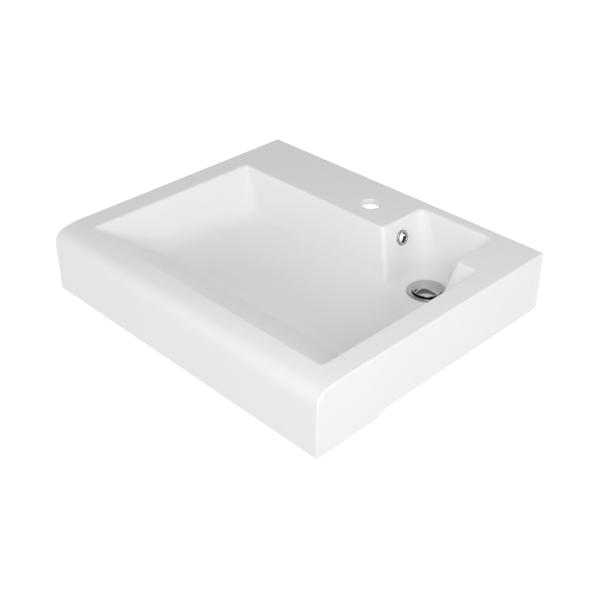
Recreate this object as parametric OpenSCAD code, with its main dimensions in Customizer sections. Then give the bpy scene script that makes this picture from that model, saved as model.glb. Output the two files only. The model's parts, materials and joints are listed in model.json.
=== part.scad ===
// Wall-hung washing machine basin with an offset push-to-open waste.
// X runs right as seen from the front, Y runs to the wall, Z is up.
// The origin is the centre of the two wall bolts, on the face that meets the wall.
// Sub-parts are drawn in the rim frame, where z = 0 is the top of the rim.

/* [Body] */
// Width across the front
body_w = 600; // [580:1:660]
// Depth from the wall to the front face
body_d = 500; // [490:1:540]
// Height of the front skirt, from the rim down
skirt_h = 112; // [112:0.5:135]
// How much shorter the skirt is near the wall
skirt_rise = 9; // [3:0.5:20]
// How far from the wall the shorter skirt reaches
rise_reach = 366; // [250:1:400]
// Thickness of the deck and of the front and side skirts
wall_t = 10; // [7:0.25:12]
// Thickness of the back wall
back_t = 12; // [8:0.5:14]
// Radius of the roll along the front edge
roll_r = 24; // [16:0.5:30]
// Radius of the gentle crown behind the roll
crown_r = 180; // [120:1:260]
// How far behind the front face the crown starts
crown_d = 55; // [46:1:60]
// Radius of the other outer edges
edge_r = 3; // [1:0.25:5]

/* [Bowl] */
// Width of the left rim
rim_left = 43; // [36:0.5:60]
// Width of the right rim
rim_right = 39; // [34:0.5:50]
// Width of the front rim, measured from the front face
rim_front = 46; // [40:0.5:60]
// Depth of the deck behind the bowl
deck_d = 119; // [110:0.5:130]
// Thickness of the bowl's walls and floor
bowl_t = 9; // [7:0.25:11]
// Lean of the left wall from the vertical
lean_left = 19; // [10:0.5:24]
// Lean of the right wall from the vertical
lean_right = 14; // [8:0.5:20]
// Lean of the back wall from the vertical
lean_back = 7; // [3:0.5:12]
// Lean of the front slope from the vertical
lean_front = 55; // [45:0.5:58]
// Depth of the floor at the mouth of the drain recess
bowl_depth = 98.9; // [94:0.1:100]
// Rise of the floor from there to the front left corner
rise_front_left = 24; // [10:0.5:30]
// Rise of the floor to the front right corner
rise_front_right = 14; // [6:0.5:24]
// Rise of the floor to the back left corner
rise_back_left = 10; // [4:0.5:20]
// Rise of the floor to the back right corner
rise_back_right = 4; // [2:0.5:10]
// Radius of the upright corners at the rim
corner_r = 7; // [4:0.5:12]
// Radius between the walls and the floor
floor_r = 22; // [14:0.5:28]
// Radius between the front slope and the floor
front_floor_r = 45; // [30:1:60]

/* [Drain recess] */
// Distance of the drain to the right of the middle
drain_x = 146; // [130:0.5:150]
// Distance of the drain from the wall
drain_y = 88.5; // [86:0.5:94]
// Width of the recess at the rim
recess_w = 148; // [140:0.5:156]
// Width of the rim behind the recess
rear_rim = 24; // [20:0.5:28]
// Lean of the recess's side walls from the vertical
recess_lean = 14; // [8:0.5:16]
// Lean of the recess's back wall from the vertical
recess_back_lean = 10; // [6:0.5:12]
// Radius of the upright corners of the recess at the rim
recess_corner_r = 9; // [6:0.5:14]
// Radius, seen from above, of those corners at the floor
recess_round_r = 46; // [36:0.5:49]
// Radius between the recess walls and its floor
recess_floor_r = 20; // [14:0.5:24]
// Height of the recess's mouth above the lowest bowl floor
recess_step = 0.4; // [0.3:0.1:1.5]
// Fall of the recess floor from its mouth to the drain
recess_fall = 3.2; // [2:0.1:4]
// Diameter of the flat seat about the drain
seat_d = 68; // [66:0.5:72]
// Depth of that seat below the recess floor
seat_depth = 0.4; // [0.3:0.1:1]
// Thickness of the shell under the drain flange
drain_t = 9.5; // [7:0.1:10]
// Diameter of the drain hole
drain_hole_d = 46; // [45:0.1:48]

/* [Tap hole] */
// Diameter of the tap hole
tap_hole_d = 33; // [30:0.1:36]
// Distance of the tap hole from the wall
tap_y = 71.5; // [50:0.5:80]
// Distance of the tap hole to the right of the middle
tap_x = 2; // [-60:0.5:20]
// Width of the flared edge of the tap hole
tap_flare = 1.5; // [0.5:0.1:2.5]

/* [Overflow] */
// Diameter of the overflow hole in the shell
overflow_hole_d = 22; // [20:0.1:24]
// Depth of the overflow's middle below the rim
overflow_drop = 31; // [28:0.5:50]
// Distance of the overflow from the wall
overflow_y = 78.5; // [66:0.5:82]
// Thickness of the shell about the overflow hole
overflow_web_t = 4.5; // [3.5:0.1:7]
// Diameter of the thinned spot behind that hole
overflow_spot_d = 34; // [30:0.5:38]
// Outer diameter of the overflow ring
ring_d = 26.5; // [25.5:0.1:30]
// Bore of the overflow ring
ring_bore_d = 16; // [12:0.1:17]
// How far the ring stands off the wall
ring_t = 2.4; // [1.5:0.1:4]
// Wall thickness of the ring's sleeve
ring_sleeve_t = 1.2; // [0.8:0.1:1.5]

/* [Wall fixing] */
// Distance between the two wall bolts
bolt_spacing = 280; // [270:1:300]
// Depth of the wall bolts below the rim
bolt_drop = 78; // [70:0.5:82]
// Diameter of the bolt holes
bolt_hole_d = 14; // [10:0.1:16]
// Diameter of the thickened pad about each bolt hole
bolt_pad_d = 34; // [28:0.5:38]
// Height of that pad
bolt_pad_t = 4; // [2:0.5:5]
// Width of the gap in the back wall for pipes and hoses
pipe_gap_w = 200; // [170:1:215]
// Depth below the rim at which that gap starts
pipe_gap_drop = 38; // [30:0.5:60]

/* [Waste] */
// Diameter of the drain flange
flange_d = 64; // [60:0.5:67]
// Thickness of the drain flange
flange_t = 2; // [1.5:0.1:3]
// Outer diameter of the threaded waste tube
tube_d = 41.9; // [41:0.1:42.5]
// Bore of the waste tube
tube_bore_d = 36.4; // [34:0.1:38]
// Length of the waste below the seat of its flange
tube_len = 58; // [52:0.5:90]
// Thickness of the gasket under the flange
flange_gasket_t = 1.5; // [1:0.1:3]
// Thickness of the tapered gasket under the shell
cone_gasket_t = 4.5; // [3:0.1:6]
// Thickness of the slip washer
slip_washer_t = 1.5; // [1:0.1:3]
// Diameter of the gaskets and the slip washer
gasket_d = 61; // [56:0.5:64]
// Thickness of the locknut
nut_t = 9; // [6:0.1:11]
// Width of the locknut across its flats
nut_af = 55; // [50:0.5:60]
// Width of the thread relief between locknut and tail
relief_w = 2; // [1:0.1:3]
// Depth of the thread relief
relief_depth = 1; // [0.5:0.1:1.2]

/* [Plug] */
// Diameter of the domed cap
cap_d = 50; // [46:0.5:54]
// Thickness of the cap at its edge
cap_edge_t = 1.6; // [1:0.1:3]
// Height of the dome above the cap's edge
dome_h = 4; // [2:0.1:7]
// Thickness of the seal under the cap
seal_t = 1.6; // [1:0.1:2.5]
// Diameter of the seal
seal_d = 48; // [44:0.5:50]
// How far the plug rises when it opens
plug_travel = 8; // [5:0.1:9]
// Diameter of the lifting rod
stem_d = 6; // [5:0.1:6.5]

/* [Latch cartridge] */
// Outer diameter of the cartridge
housing_d = 16; // [15:0.1:17]
// Bore of the cartridge
housing_bore_d = 10.4; // [10:0.1:11]
// Length of the cartridge's tube
housing_len = 36; // [34:0.5:40]
// Thickness of the cartridge's closed end
housing_floor_t = 3; // [2:0.1:4]
// Height of the gland's rim above the tube
gland_t = 1.5; // [1:0.1:3]
// Length of the gland's spigot inside the tube
spigot_len = 4; // [2:0.1:5]
// Height of the plunger shoulder on the lifting rod
shoulder_t = 4; // [3:0.1:5]
// Height of the latch rotor
rotor_t = 5; // [4:0.1:6]
// Number of teeth on the plunger and the rotor
tooth_count = 4; // [3:1:6]
// Depth of those teeth
tooth_h = 1.2; // [0.6:0.1:1.6]
// Width of the guide ribs inside the cartridge
rib_w = 1.2; // [0.8:0.1:1.6]
// Height of those ribs
rib_h = 0.8; // [0.5:0.1:0.9]
// Wire of the lifting spring
wire_d = 0.8; // [0.6:0.05:1]
// Turns of the lifting spring
spring_turns = 5; // [4:1:6]
// Number of arms that hold the cartridge in the tube
arm_count = 3; // [3:1:4]
// Width of each arm
arm_w = 4; // [3:0.1:6]
// Height of the arms and their boss
arm_h = 7; // [5:0.1:8]

/* [Clearances] */
// Gap between the ring or gasket and an uneven cast surface
cast_gap = 0.15; // [0.1:0.01:0.25]
// Radial gap between threads or fixed round pieces
thread_gap = 0.05; // [0.03:0.01:0.08]
// Radial running gap of the lifting rod in its gland
stem_gap = 0.08; // [0.05:0.01:0.1]
// Gap between the closed plug and the waste
plug_gap = 0.3; // [0.25:0.01:0.5]

/* [Hidden] */
$fn = 96;

// Fine enough for the rounded corners that a hull joins
hull_fn = 32;
// Overlap of a cut past the surface that it opens
cut = 1;
// Height above the rim to which the pits reach before the rim trims them
pit_over = 16;

ceramic = [0.95, 0.95, 0.94];
chrome = [0.78, 0.79, 0.80];
brass = [0.78, 0.63, 0.33];
rubber = [0.10, 0.10, 0.11];
white_plastic = [0.88, 0.88, 0.86];
spring_steel = [0.60, 0.61, 0.63];

// The two circles of the front profile touch where the crown runs into the roll
crown_y = -(body_d - crown_d);
roll_y = -(body_d - roll_r);
roll_z = -crown_r + sqrt(pow(crown_r - roll_r, 2) - pow(roll_y - crown_y, 2));

// Edges of the bowl and the recess at the rim
bowl_x0 = rim_left - body_w / 2;
bowl_x1 = body_w / 2 - rim_right;
bowl_y0 = rim_front - body_d;
bowl_y1 = -deck_d;
recess_x0 = drain_x - recess_w / 2;
recess_x1 = drain_x + recess_w / 2;
mouth_depth = bowl_depth - recess_step;
recess_depth = mouth_depth + recess_fall;
// The lowest stretch of the bowl floor lies in front of the recess
sump_half_w = 30;
sump_run = 36;
sump_y = -(deck_d + sump_run);
// The recess starts just in front of that stretch, inside the bowl
recess_start_r = 6;
recess_start_y = sump_y - recess_start_r;

// Levels of the waste, above the seat that the flange rests on
seat_z = -(recess_depth + seat_depth);
flange_top = flange_gasket_t + flange_t;
under_z = -drain_t;
washer_z = under_z - cone_gasket_t;
nut_top = washer_z - slip_washer_t;
nut_bottom = nut_top - nut_t;
relief_gap = 1;
relief_z = nut_bottom - relief_gap;

// The flange's top dips gently from its edge to the mouth of the tube
mouth_flare = 2.2;
mouth_r = tube_bore_d / 2 + mouth_flare;
mouth_land = 6;
mouth_drop = 3;
flange_dip = 0.7;
mouth_z = flange_top - flange_dip;

// Levels of the plug when it is shut. The seal sinks a little into the dip of the flange.
seal_sink = 0.25;
seal_bottom = flange_top - seal_sink + plug_gap;
cap_bottom = seal_bottom + seal_t;
cap_top = cap_bottom + cap_edge_t;
dome_r = (pow(cap_d / 2, 2) + dome_h * dome_h) / (2 * dome_h);
seal_bore_d = 33;
seal_lip = 0.8;
hub_lip_t = 2;
hub_len = 5;
hub_r = 6.5;
hub_bottom = seal_bottom - hub_lip_t - hub_len;

// Levels of the cartridge
hub_room = 2;
gland_top = hub_bottom - hub_room;
tube_top = gland_top - gland_t;
tube_bottom = tube_top - housing_len;
spigot_bottom = tube_top - spigot_len;
shoulder_room = 2.4;
collar_t = 0.4;
shoulder_top = spigot_bottom - plug_travel - shoulder_room;
shoulder_bottom = shoulder_top - shoulder_t;
bore_slide_gap = 0.2;
rotor_top = shoulder_bottom - collar_t - tooth_h - bore_slide_gap;
rotor_bottom = rotor_top - rotor_t - tooth_h;
spring_bottom = tube_bottom + housing_floor_t;
// The ribs start below the gland and end just above the latched rotor, which can turn there
rib_top = spigot_bottom - 1;
rib_bottom = rotor_top + bore_slide_gap;
slide_r = housing_bore_d / 2 - bore_slide_gap;
// The plunger's toothed crown stands on a collar that fits inside the ribs
tooth_r = slide_r - rib_h - bore_slide_gap;
stem_tail_d = 3.6;
stem_tail_len = 2.5;
stem_tail_bottom = rotor_bottom - stem_tail_len;

module at_rim() translate([0, 0, bolt_drop]) children();
module at_drain() at_rim() translate([drain_x, -drain_y, seat_z]) children();

// Turns an outline drawn as [y, z] into a bar along X
module along_x(width) rotate([90, 0, 90]) translate([0, 0, -width / 2])
    linear_extrude(width) children();

// Outline of the body seen from its side, or of the hollow at a given wall thickness
module side_outline(inset = 0, back = 0, foot = 0) {
    bottom = -skirt_h - foot;
    meet_y = crown_y + (roll_y - crown_y) * (crown_r - inset) / (crown_r - roll_r);
    translate([crown_y, bottom]) square([-crown_y - back, -inset - bottom]);
    intersection() {
        translate([crown_y, -crown_r]) circle(crown_r - inset, $fn = 360);
        translate([meet_y, bottom]) square([crown_y + cut - meet_y, -bottom]);
    }
    translate([roll_y, roll_z]) circle(roll_r - inset);
    translate([inset - body_d, bottom]) square([crown_y + cut + body_d - inset, roll_z - bottom]);
}

// Outline of a box with round upper corners, seen along the depth
module front_outline(foot) {
    translate([-body_w / 2, -skirt_h - foot - cut]) square([body_w, skirt_h + foot + cut - edge_r]);
    translate([edge_r - body_w / 2, -skirt_h]) square([body_w - 2 * edge_r, skirt_h]);
    for (side = [-1, 1]) translate([side * (body_w / 2 - edge_r), -edge_r]) circle(edge_r);
}

// Outline of the body seen from above
module plan_outline() {
    translate([-body_w / 2, edge_r - body_d]) square([body_w, body_d - edge_r]);
    translate([edge_r - body_w / 2, -body_d]) square([body_w - 2 * edge_r, body_d]);
    for (side = [-1, 1]) translate([side * (body_w / 2 - edge_r), edge_r - body_d]) circle(edge_r);
}

// The solid body under the rim, or the same reaching further down by foot
module body_block(foot = 0) intersection() {
    along_x(body_w) side_outline(foot = foot);
    rotate([90, 0, 0]) translate([0, 0, -cut]) linear_extrude(body_d + 2 * cut) front_outline(foot);
    translate([0, 0, -skirt_h - foot - cut])
        linear_extrude(skirt_h + foot + 2 * cut) plan_outline();
}

module underside_hollow() along_x(body_w - 2 * wall_t) side_outline(wall_t, back_t, cut);

// The skirt's lower edge steps up towards the wall on a short slant
step_slant = 1.5;
module skirt_step() along_x(body_w + 2 * cut) polygon([
    [cut, -skirt_h - cut],
    [cut, skirt_rise - skirt_h],
    [-rise_reach, skirt_rise - skirt_h],
    [-rise_reach - step_slant * skirt_rise, -skirt_h],
    [-rise_reach - step_slant * skirt_rise, -skirt_h - cut]]);

module pipe_gap() translate([-pipe_gap_w / 2, -back_t - cut, -skirt_h - cut])
    cube([pipe_gap_w, back_t + 2 * cut, skirt_h + cut - pipe_gap_drop]);

// A ball of radius r at height z that touches both leaning walls of a pit's corner.
// A corner is [x at the rim, x direction inwards, lean, y at the rim, y direction, lean].
function ball_place(c, r, z) = disc_place(c, r, r, z);
// The same for a disc whose round edge is smaller than its radius
function disc_place(c, r, edge, z) = [
    c[0] + c[1] * (r - edge + edge / cos(c[2]) - z * tan(c[2])),
    c[3] + c[4] * (r - edge + edge / cos(c[5]) - z * tan(c[5])),
    z];

// A disc of radius r, seen from above, with a round edge of radius edge
module round_disc(r, edge) {
    if (r > edge) rotate_extrude($fn = hull_fn) intersection() {
        translate([r - edge, 0]) circle(edge, $fn = hull_fn);
        translate([0, -edge]) square([r, 2 * edge]);
    }
    else sphere(edge, $fn = hull_fn);
}

// A pit with leaning walls and round corners. Each corner has three radii: of the upright
// corner at the rim, of that corner at the floor and between wall and floor. grow thickens
// the whole form evenly, for the outside of the shell.
module pit(corners, radii, depths, grow) hull() for (i = [0 : len(corners) - 1]) {
    rim = radii[i][0];
    round = radii[i][1];
    fillet = radii[i][2];
    translate(ball_place(corners[i], rim, pit_over)) round_disc(rim + grow, rim + grow);
    translate(disc_place(corners[i], round, fillet, fillet - depths[i]))
        round_disc(round + grow, fillet + grow);
}

module bowl(grow = 0) hull() {
    pit([[bowl_x0, 1, lean_left, bowl_y0, 1, lean_front],
         [bowl_x1, -1, lean_right, bowl_y0, 1, lean_front],
         [bowl_x0, 1, lean_left, bowl_y1, -1, lean_back],
         [bowl_x1, -1, lean_right, bowl_y1, -1, lean_back]],
        [for (fillet = [front_floor_r, front_floor_r, floor_r, floor_r]) [corner_r, fillet, fillet]],
        [bowl_depth - rise_front_left, bowl_depth - rise_front_right,
         bowl_depth - rise_back_left, bowl_depth - rise_back_right], grow);
    for (side = [-1, 1]) translate([drain_x + side * sump_half_w, sump_y, floor_r - bowl_depth])
        sphere(floor_r + grow, $fn = hull_fn);
}

module recess(grow = 0) {
    start = [recess_start_r, recess_start_r, recess_start_r];
    back = [recess_corner_r, recess_round_r, recess_floor_r];
    pit([[recess_x0, 1, recess_lean, recess_start_y, 1, 0],
         [recess_x1, -1, recess_lean, recess_start_y, 1, 0],
         [recess_x0, 1, recess_lean, -rear_rim, -1, recess_back_lean],
         [recess_x1, -1, recess_lean, -rear_rim, -1, recess_back_lean]],
        [start, start, back, back], [mouth_depth, mouth_depth, recess_depth, recess_depth], grow);
}

// Flat seat of the drain and the hole through it
module drain_cut() translate([drain_x, -drain_y, seat_z]) {
    cylinder(h = seat_depth + recess_fall, d = seat_d);
    translate([0, 0, -drain_t - cut]) cylinder(h = drain_t + 2 * cut, d = drain_hole_d);
}

// Flat face under the shell, which the cone gasket presses on
module drain_boss() translate([drain_x, -drain_y, seat_z - drain_t])
    cylinder(h = drain_t, d = seat_d);

module tap_cut() translate([tap_x, -tap_y, 0]) {
    translate([0, 0, -wall_t - cut]) cylinder(h = wall_t + 2 * cut, d = tap_hole_d);
    translate([0, 0, -tap_flare])
        cylinder(h = 2 * tap_flare, d1 = tap_hole_d, d2 = tap_hole_d + 4 * tap_flare);
}

// Stands on the deck's right-facing wall, with Z pointing away from it into the recess
module at_overflow() translate([recess_x0 + overflow_drop * tan(recess_lean), -overflow_y, -overflow_drop])
    rotate([0, 90 - recess_lean, 0]) children();

module bolt_places() for (side = [-1, 1]) translate([side * bolt_spacing / 2, 0, -bolt_drop])
    rotate([90, 0, 0]) children();

module basin() color(ceramic) at_rim() difference() {
    union() {
        difference() {
            body_block();
            underside_hollow();
            skirt_step();
            pipe_gap();
        }
        intersection() {
            body_block(foot = bowl_depth);
            union() {
                bowl(bowl_t);
                recess(bowl_t);
            }
        }
        drain_boss();
        bolt_places() cylinder(h = back_t + bolt_pad_t, d = bolt_pad_d);
    }
    bowl();
    recess();
    drain_cut();
    tap_cut();
    at_overflow() {
        translate([0, 0, -2 * bowl_t]) cylinder(h = 2 * bowl_t + ring_t, d = overflow_hole_d);
        translate([0, 0, -2 * bowl_t]) cylinder(h = 2 * bowl_t - overflow_web_t, d = overflow_spot_d);
    }
    bolt_places() translate([0, 0, -cut]) cylinder(h = back_t + bolt_pad_t + 2 * cut, d = bolt_hole_d);
}

// Points of a half circle round c, from its top outwards to its bottom
function half_round(c, r, n = 8) = [for (i = [0 : n]) let (a = 90 - 180 * i / n)
    [c[0] + r * cos(a), c[1] + r * sin(a)]];

// Chrome ring with a rounded face, a sleeve through the wall and four barbed legs behind it
ring_sleeve_r = overflow_hole_d / 2 - 2 * cast_gap;
ring_bore_z = cast_gap + ring_t / 4;
ring_barb_z = -overflow_web_t - 2 * cast_gap;
ring_leg = 2;
ring_barb = 0.9;
ring_slot_w = 3;
ring_slot_h = 2.5 * ring_leg;
ring_edge_x = (ring_d - ring_t) / 2;
module overflow_ring() color(chrome) at_rim() at_overflow() difference() {
    rotate_extrude() polygon(concat(
        [[ring_bore_d / 2, cast_gap + ring_t]],
        half_round([ring_edge_x, cast_gap + ring_t / 2], ring_t / 2),
        [[ring_sleeve_r, cast_gap],
         [ring_sleeve_r, ring_barb_z],
         [ring_sleeve_r + ring_barb, ring_barb_z],
         [ring_sleeve_r, ring_barb_z - ring_leg],
         [ring_sleeve_r - ring_sleeve_t, ring_barb_z - ring_leg],
         [ring_sleeve_r - ring_sleeve_t, ring_bore_z],
         [ring_bore_d / 2, ring_bore_z]]));
    for (turn = [0, 90]) rotate([0, 0, turn])
        translate([-ring_d, -ring_slot_w / 2, ring_barb_z - ring_leg - cut])
            cube([2 * ring_d, ring_slot_w, ring_slot_h + cut]);
}

module washer(outer_d, inner_d, z0, z1) translate([0, 0, z0]) difference() {
    cylinder(h = z1 - z0, d = outer_d);
    translate([0, 0, -cut]) cylinder(h = z1 - z0 + 2 * cut, d = inner_d);
}

module flange_gasket() color(rubber) at_drain()
    washer(gasket_d, drain_hole_d, 0, flange_gasket_t);

// Tapered gasket that centres the waste in the drain hole from below
cone_neck = 2;
cone_bevel = 3;
module cone_gasket() color(rubber) at_drain() rotate_extrude() polygon([
    [tube_d / 2 + thread_gap, under_z + cone_neck],
    [drain_hole_d / 2 - 4 * cast_gap, under_z + cone_neck],
    [drain_hole_d / 2 - 2 * cast_gap, under_z],
    [gasket_d / 2, under_z],
    [gasket_d / 2, under_z - cone_gasket_t / 2],
    [gasket_d / 2 - cone_bevel, washer_z],
    [tube_d / 2 + thread_gap, washer_z]]);

module slip_washer() color(white_plastic) at_drain()
    washer(gasket_d, tube_d + 2 * thread_gap, nut_top, washer_z);

// Hexagon nut whose lower corners are turned off at 30 degrees
nut_corner_r = nut_af / 2 / cos(30);
nut_bevel = 0.5;
module locknut() color(brass) at_drain() difference() {
    intersection() {
        translate([0, 0, nut_bottom]) cylinder(h = nut_t, r = nut_corner_r, $fn = 6);
        rotate_extrude() polygon([
            [0, nut_bottom],
            [nut_af / 2 - nut_bevel, nut_bottom],
            [nut_corner_r + cut, nut_bottom + (nut_corner_r + cut - nut_af / 2 + nut_bevel) * tan(30)],
            [nut_corner_r + cut, nut_top],
            [0, nut_top]]);
    }
    translate([0, 0, nut_bottom - cut]) cylinder(h = nut_t + 2 * cut, d = tube_d + 2 * thread_gap);
}

// Flange with a rounded edge, mouth, threaded tube and the spider inside it
spider_wall = 3;
module waste_body() color(chrome) at_drain() {
    flange_r = flange_d / 2;
    difference() {
        rotate_extrude() {
            polygon([
                [tube_bore_d / 2, -mouth_drop],
                [tube_d / 2, -mouth_drop],
                [tube_d / 2, flange_gasket_t],
                [flange_r - flange_t / 2, flange_gasket_t],
                [flange_r - flange_t / 2, flange_top],
                [mouth_r + mouth_land, mouth_z + flange_dip / 3],
                [mouth_r, mouth_z]]);
            translate([flange_r - flange_t / 2, flange_gasket_t + flange_t / 2]) circle(flange_t / 2);
            translate([tube_bore_d / 2, -tube_len])
                square([(tube_d - tube_bore_d) / 2, tube_len - mouth_drop]);
        }
        rotate_extrude() translate([tube_d / 2 - relief_depth, relief_z - relief_w])
            square([relief_depth + cut, relief_w]);
    }
    spider_r = housing_d / 2 + spider_wall;
    arm_root = spider_r - spider_wall / 4;
    translate([0, 0, tube_bottom]) {
        difference() {
            cylinder(h = arm_h, r = spider_r);
            translate([0, 0, -cut]) cylinder(h = arm_h + 2 * cut, d = housing_d + 2 * thread_gap);
        }
        for (i = [0 : arm_count - 1]) rotate([0, 0, i * 360 / arm_count])
            translate([arm_root, -arm_w / 2, 0])
                cube([(tube_bore_d + tube_d) / 4 - arm_root, arm_w, arm_h]);
    }
}

// Bars from radius r outwards, halfway between the teeth
module between_teeth(r, width, z0, z1) for (i = [0 : tooth_count - 1])
    rotate([0, 0, (i + 0.5) * 360 / tooth_count]) translate([r, -width / 2, z0])
        cube([(housing_bore_d + housing_d) / 4 - r, width, z1 - z0]);

module cartridge_housing() color(brass) at_drain() {
    difference() {
        translate([0, 0, tube_bottom]) cylinder(h = housing_len, d = housing_d);
        translate([0, 0, spring_bottom]) cylinder(h = housing_len, d = housing_bore_d);
    }
    between_teeth(housing_bore_d / 2 - rib_h, rib_w, rib_bottom, rib_top);
}

// Grooves for the ribs in a piece that slides inside the cartridge
module rib_grooves(z0, z1)
    between_teeth(slide_r - rib_h, rib_w + 2 * bore_slide_gap, z0 - cut, z1 + cut);

// Gland with wrench flats; its spigot ends above the highest place of the shoulder
gland_flat = 0.8;
module cartridge_gland() color(brass) at_drain() difference() {
    union() {
        translate([0, 0, tube_top]) cylinder(h = gland_t, d = housing_d);
        translate([0, 0, spigot_bottom]) cylinder(h = spigot_len, d = housing_bore_d - 2 * thread_gap);
    }
    translate([0, 0, spigot_bottom - cut])
        cylinder(h = spigot_len + gland_t + 2 * cut, d = stem_d + 2 * stem_gap);
    for (side = [-1, 1])
        translate([side * (housing_d - gland_flat), 0, tube_top + (gland_t + cut) / 2])
            cube([housing_d, housing_d, gland_t + cut], center = true);
}

// Saw teeth round an axis: each slopes up over its share of the circle, then drops
module saw_teeth(r, h) for (i = [0 : tooth_count - 1]) rotate([0, 0, i * 360 / tooth_count])
    intersection() {
        cylinder(h = h, r = r);
        rotate([atan2(h, r), 0, 0]) translate([0, 0, -2 * h]) cube([r, r, 2 * h]);
    }

// Rotor that the plunger's teeth turn by half a tooth at each push and each release
module latch_rotor() color(white_plastic) at_drain() difference() {
    union() {
        translate([0, 0, rotor_bottom]) cylinder(h = rotor_t, r = slide_r);
        translate([0, 0, rotor_bottom + rotor_t]) saw_teeth(slide_r, tooth_h);
    }
    translate([0, 0, rotor_bottom - cut])
        cylinder(h = rotor_t + tooth_h + 2 * cut, d = stem_tail_d + 2 * bore_slide_gap);
    rib_grooves(rotor_bottom, rotor_top);
}

// Rod with its toothed plunger shoulder; a thin tail runs through the rotor
stem_top = cap_bottom - 1;
module lift_stem() color(spring_steel) at_drain() {
    translate([0, 0, shoulder_bottom]) cylinder(h = stem_top - shoulder_bottom, d = stem_d);
    difference() {
        translate([0, 0, shoulder_bottom]) cylinder(h = shoulder_t, r = slide_r);
        rib_grooves(shoulder_bottom, shoulder_top);
    }
    translate([0, 0, shoulder_bottom]) rotate([180, 0, 0]) {
        cylinder(h = collar_t, r = tooth_r);
        translate([0, 0, collar_t]) saw_teeth(tooth_r, tooth_h);
    }
    translate([0, 0, stem_tail_bottom])
        cylinder(h = shoulder_bottom - stem_tail_bottom, d = stem_tail_d);
}

module plug_seal() color(rubber) at_drain()
    washer(seal_d, seal_bore_d, seal_bottom, cap_bottom);

// Domed cap; its hub holds the seal in a groove and takes the lifting rod
module plug_cap() color(chrome) at_drain() difference() {
    rotate_extrude() {
        intersection() {
            translate([0, cap_top + dome_h - dome_r]) circle(dome_r, $fn = 360);
            translate([0, cap_bottom]) square([cap_d / 2, cap_edge_t + dome_h]);
        }
        translate([0, seal_bottom]) square([seal_bore_d / 2, seal_t]);
        translate([0, seal_bottom - hub_lip_t]) square([seal_bore_d / 2 + seal_lip, hub_lip_t]);
        translate([0, hub_bottom]) square([hub_r, seal_bottom - hub_bottom]);
    }
    translate([0, 0, hub_bottom - cut])
        cylinder(h = stem_top - hub_bottom + cut, d = stem_d + 2 * thread_gap);
}

// Open coil of round wire, swept as one tube between the cartridge's floor and the rotor
wire_sides = 6;
wire_steps = 14;
wire_gap = 0.05;
module lift_spring() color(spring_steel) at_drain() {
    coil_r = (housing_bore_d - stem_tail_d) / 4 + stem_tail_d / 2;
    z0 = spring_bottom + wire_d / 2 + wire_gap;
    z1 = rotor_bottom - wire_d / 2 - wire_gap;
    n = spring_turns * wire_steps;
    rings = [for (i = [0 : n]) let (a = 360 * i / wire_steps, z = z0 + (z1 - z0) * i / n)
        [for (j = [0 : wire_sides - 1]) let (b = 360 * j / wire_sides, r = coil_r + wire_d / 2 * cos(b))
            [r * cos(a), r * sin(a), z + wire_d / 2 * sin(b)]]];
    points = [for (ring = rings) for (p = ring) p];
    sides = [for (i = [0 : n - 1]) for (j = [0 : wire_sides - 1])
        let (k = (j + 1) % wire_sides, a = i * wire_sides, b = a + wire_sides)
            each [[a + j, a + k, b + k], [a + j, b + k, b + j]]];
    caps = [for (j = [1 : wire_sides - 2]) each [[0, j + 1, j],
        [n * wire_sides, n * wire_sides + j, n * wire_sides + j + 1]]];
    polyhedron(points, concat(sides, caps));
}

basin();
overflow_ring();
flange_gasket();
waste_body();
cone_gasket();
slip_washer();
locknut();
cartridge_housing();
cartridge_gland();
lift_spring();
latch_rotor();
lift_stem();
plug_seal();
plug_cap();
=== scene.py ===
"""Looks of the washing machine basin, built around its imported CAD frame.

The glazed shell is one smooth mesh taken from an analytic shape function, so that its
edges, fillets and funnelled floor are soft like cast and glazed ware. The flange, gaskets,
cartridge case, plug and overflow ring are turned profiles with rounded corners, and the nut
is a smooth mesh like the shell. The gland, rotor, stem and spring are the CAD solids.
Shapes are worked out in millimetres in the rim frame, where z = 0 is the top of the rim.
"""
import json
import math

import bpy
import numpy as np
from mathutils import Matrix, Vector


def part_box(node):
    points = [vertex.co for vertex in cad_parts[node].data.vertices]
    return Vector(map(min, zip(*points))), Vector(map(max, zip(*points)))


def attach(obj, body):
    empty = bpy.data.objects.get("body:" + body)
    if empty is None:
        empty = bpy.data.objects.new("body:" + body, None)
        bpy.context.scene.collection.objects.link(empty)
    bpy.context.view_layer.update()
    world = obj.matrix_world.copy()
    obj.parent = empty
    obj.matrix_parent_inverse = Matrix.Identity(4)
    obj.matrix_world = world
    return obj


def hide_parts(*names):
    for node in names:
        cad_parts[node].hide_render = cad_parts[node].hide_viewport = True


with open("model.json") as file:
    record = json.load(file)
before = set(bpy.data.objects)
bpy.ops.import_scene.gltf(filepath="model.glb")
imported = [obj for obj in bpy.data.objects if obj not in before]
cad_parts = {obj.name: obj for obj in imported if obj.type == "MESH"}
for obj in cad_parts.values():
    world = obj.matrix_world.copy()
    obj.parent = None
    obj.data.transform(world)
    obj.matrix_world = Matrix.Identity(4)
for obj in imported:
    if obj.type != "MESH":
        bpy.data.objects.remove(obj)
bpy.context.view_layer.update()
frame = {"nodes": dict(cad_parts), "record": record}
MM = 0.001

# Body, in millimetres

CAD_LO, CAD_HI = (np.array(corner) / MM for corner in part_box("basin"))
RIM_Z = CAD_HI[2]
HALF_W = CAD_HI[0]
DEPTH = CAD_HI[1] - CAD_LO[1]
SKIRT_H = CAD_HI[2] - CAD_LO[2]
WALL_T, BACK_T, BOWL_T = 10, 12, 9
ROLL_R, CROWN_R, CROWN_D = 24, 180, 55
SKIRT_RISE, RISE_REACH, RISE_SLANT = 9, 366, 13.5
OUTER_EDGE_R, WALL_EDGE_R = 3.0, 3.5

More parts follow.
